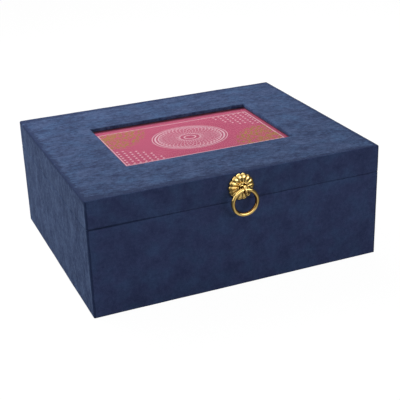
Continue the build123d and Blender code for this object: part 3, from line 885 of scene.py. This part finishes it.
petals = copies(petal, [Matrix.Rotation(math.tau * (number + 0.5) / PETALS, 4, "Z")
                        for number in range(PETALS)])
print("petals", len(petals.data.polygons), "faces")

# %% Rosette: crown of beads, then onto the lid
deselect()
bpy.ops.mesh.primitive_uv_sphere_add(segments=14, ring_count=10, radius=1)
bead = bpy.context.object
bead.scale = (1.4 * MM, 0.85 * MM, 0.75 * MM)
bead.location = (0, 3.85 * MM, 3.7 * MM)
settle(bead)
crown = copies(bead, [Matrix.Rotation(math.tau * number / BEADS, 4, "Z")
                      for number in range(BEADS)])
rosette = join([plate, petals, crown])
UPRIGHT = Matrix.Rotation(math.radians(90), 4, "X")
PULL = Matrix.Translation((0, rosette_high.y, PULL_HEIGHT)) @ UPRIGHT


def onto_lid(piece):
    """From lying flat, with its front up, to its place on the lid's front."""
    piece.matrix_world = PULL
    settle(piece)
    smooth(piece, 40)
    return piece


stands_for(onto_lid(rosette), polished, "pull_rosette")

# %% Eye and post
deselect()
bpy.ops.mesh.primitive_torus_add(major_segments=40, minor_segments=16, major_radius=2.675 * MM,
                                 minor_radius=0.725 * MM, rotation=(0, math.radians(90), 0))
eye = bpy.context.object
settle(eye)
eye.scale.x = 1.9
eye.location.z = EYE_OUT * MM
settle(eye)
shank = turned("pull_eye_post", [(1.3, -12.6), (1.5, -12.3), (1.5, 1.6), (2.25, 1.6), (2.3, 2.3),
                                 (2.1, 2.6), (1.5, 2.8), (1.25, 3.4), (1.25, 4.2), (1.5, 5.0),
                                 (1.3, 5.6)], 28)
post = join([shank, eye])
stands_for(onto_lid(post), polished, "pull_post")

# %% Ring: the section of a rod, spun round until its two ends meet in the eye
deselect()
bpy.ops.mesh.primitive_circle_add(vertices=24, radius=1.6 * MM, fill_type="NGON",
                                  location=(0, 0, EYE_OUT * MM),
                                  rotation=(0, math.radians(90), 0))
ring = bpy.context.object
ring.name = "pull_ring_rod"
settle(ring)
shape(ring)
bpy.ops.mesh.select_all(action="SELECT")
bpy.ops.mesh.spin(steps=120, angle=math.radians(358.8),
                  center=(0, -RING_DROP * MM, EYE_OUT * MM), axis=(0, 0, 1))
bpy.ops.mesh.select_all(action="SELECT")
bpy.ops.mesh.normals_make_consistent(inside=False)
round_over(lambda point: abs(point.x) < 0.25 * MM and point.y > -2 * MM, 0.15 * MM, 2)
close()
stands_for(onto_lid(ring), polished, "pull_ring")
print("ring", len(ring.data.polygons), "faces")

# %% Washer and domed nut inside the lid
washer_low, washer_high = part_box("pull_washer")
top, bottom = [(rosette_high.y - place) / MM for place in (washer_low.y, washer_high.y)]
washer = turned("pull_washer_plate", [(1.6, bottom), (3.8, bottom), (4.0, bottom + 0.15),
                                      (4.0, top - 0.15), (3.8, top), (1.6, top), (1.6, bottom)], 32)
stands_for(onto_lid(washer), satin, "pull_washer")

deselect()
bpy.ops.mesh.primitive_cylinder_add(vertices=6, radius=3.17 * MM, depth=2.4 * MM,
                                    location=(0, 0, (bottom - 1.2) * MM))
hexagon = bpy.context.object
settle(hexagon)
nut_face = bottom - 2.4
shape(hexagon)
bpy.ops.mesh.select_all(action="SELECT")
bpy.ops.mesh.bevel(offset=0.25 * MM, segments=2, affect="EDGES")
close()
cap = turned("pull_cap_nut", [(2.6, nut_face + 0.2), (2.6, nut_face), (2.4, nut_face - 0.75),
                              (1.75, nut_face - 1.3), (0.9, nut_face - 1.55),
                              (0.25, nut_face - 1.6)], 24)
stands_for(onto_lid(join([cap, hexagon])), satin, "pull_nut")
print("washer from", [round(-height, 2) for height in (top, bottom)], "mm behind the front")

# %% [markdown]
# ## Screws and turn buttons
# Every screw has a cross recess. It is cut into one screw of each kind by a Boolean with two
# crossed blocks, the way a punch makes it, and the finished screw is then copied to its places.
# The turn buttons are strips of sheet with round ends that hold the backing board. One is made
# and copied four times, and each copy rides on its own body, because each turns by itself.

# %% One screw of each kind
def cross_recess(screw, top, reach, depth):
    """Punches a cross into the top of an upright screw."""
    half = 0.22 * MM
    bars = [block("bar", (-reach, -half, top - depth), (reach, half, top + depth)),
            block("bar", (-half, -reach, top - depth), (half, reach, top + depth))]
    for bar in bars:
        finish_with(screw, "BOOLEAN", object=bar, operation="DIFFERENCE")
        bpy.data.objects.remove(bar)
    smooth(screw, 35)


hinge_screw = turned("hinge_screw", [(0.5, -5.4), (0.9, -5.0), (0.9, -1.0), (1.75, -0.05),
                                     (1.7, 0.05), (1.2, 0.16), (0.4, 0.2)], 24)
cross_recess(hinge_screw, 0.2 * MM, 1.0 * MM, 0.55 * MM)
button_screw = turned("turn_button_screw_set", [(0.6, -4.6), (1.2, -4.2), (1.2, 0), (2.5, 0),
                                                (2.6, 0.3), (2.45, 0.85), (1.9, 1.25),
                                                (1.1, 1.45), (0.4, 1.5)], 28)
cross_recess(button_screw, 1.5 * MM, 1.3 * MM, 0.8 * MM)
print("screw faces", len(hinge_screw.data.polygons), len(button_screw.data.polygons))

# %% Hinge screws in their places on the back
OUT_OF_BACK = Matrix.Rotation(math.radians(-90), 4, "X")
SCREWS_ACROSS = (-85, -65, 65, 85)        # millimetres
for name, node in (("tray_leaf_screws", "base_hinge_screws"),
                   ("lid_leaf_screws", "lid_hinge_screws")):
    low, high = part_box(node)
    height = (low.z + high.z) / 2
    places = []
    for number, across in enumerate(SCREWS_ACROSS):
        spin = Matrix.Rotation(math.radians(37 + 53 * number), 4, "Z")
        places.append(Matrix.Translation((across * MM, high.y, height)) @ OUT_OF_BACK @ spin)
    screw = hinge_screw.copy()
    screw.data = hinge_screw.data.copy()
    bpy.context.collection.objects.link(screw)
    screw.name = name
    stands_for(copies(screw, places), satin, node)
bpy.data.objects.remove(hinge_screw)

# %% Turn buttons and their screws
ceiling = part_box("lid_ceiling_lining")[0].z
button_low, button_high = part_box("turn_button_right")
pivots = {"front": (0, -1, 90), "back": (0, 1, -90), "left": (-1, 0, 0), "right": (1, 0, 180)}
REACH_ACROSS, REACH_ALONG = 82, 56.6        # from the lid's middle to the screws, in millimetres
TAIL, NOSE, HALF_WIDTH = -4.5 * MM, 13.5 * MM, 3 * MM        # from the screw's middle
sheet_button = block("sheet_button", (TAIL, -HALF_WIDTH, button_low.z - ceiling),
                     (NOSE, HALF_WIDTH, button_high.z - ceiling))
shape(sheet_button)
round_over(lambda point: at(point.z, (button_low.z + button_high.z) / 2 - ceiling)
           and not at(point.x, (TAIL + NOSE) / 2), 2.98 * MM, 8)
round_over(lambda point: at(point.z, button_low.z - ceiling), 0.18 * MM, 2)
close()
smooth(sheet_button, 35)
head_down = Matrix.Translation((0, 0, -1.05 * MM)) @ Matrix.Rotation(math.pi, 4, "X")
screw_places = []
for side, (across, along, degrees) in pivots.items():
    pivot = (across * REACH_ACROSS * MM, along * REACH_ALONG * MM, ceiling)
    place = Matrix.Translation(pivot) @ Matrix.Rotation(math.radians(degrees), 4, "Z")
    button = sheet_button.copy()
    button.data = sheet_button.data.copy()
    button.data.transform(place)
    button.name = "brass_turn_button_" + side
    bpy.context.collection.objects.link(button)
    stands_for(button, satin, "turn_button_" + side)
    driven = Matrix.Rotation(math.radians(degrees * 0.7 + 20), 4, "Z")
    screw_places.append(place @ head_down @ driven)
bpy.data.objects.remove(sheet_button)
stands_for(copies(button_screw, screw_places), satin, "turn_button_screws")


# %% [markdown]
# ## Hinges
# The CAD leaves have the right form: sheet, knuckles, holes and the stops that meet when the lid
# is open. Their edges are knife sharp, though, and real blanked sheet has small rounded ones that
# catch light. A copy of each is merged from loose triangles into whole faces, and a Bevel
# modifier, limited by angle, rounds only its true edges.

# %% Hinge leaves and pins with eased edges
def eased_copy(name, node, finish, edge):
    """A merged copy of a CAD piece whose sharp edges are slightly rounded."""
    source = frame["nodes"][node]
    piece = bpy.data.objects.new(name, source.data.copy())
    bpy.context.collection.objects.link(piece)
    shape(piece)
    bpy.ops.mesh.select_all(action="SELECT")
    bpy.ops.mesh.remove_doubles(threshold=0.001 * MM)
    bpy.ops.mesh.dissolve_limited(angle_limit=math.radians(1))
    close()
    finish_with(piece, "BEVEL", width=edge, segments=2, limit_method="ANGLE",
                angle_limit=math.radians(40))
    smooth(piece, 30)
    stands_for(piece, finish, node)
    return piece


for side in ("left", "right"):
    eased_copy("tray_hinge_leaf_" + side, "hinge_base_leaf_" + side, satin, 0.12 * MM)
    eased_copy("lid_hinge_leaf_cover_" + side, "hinge_lid_leaf_" + side, satin, 0.12 * MM)
eased_copy("hinge_pin_rods", "hinge_pins", satin, 0.15 * MM)
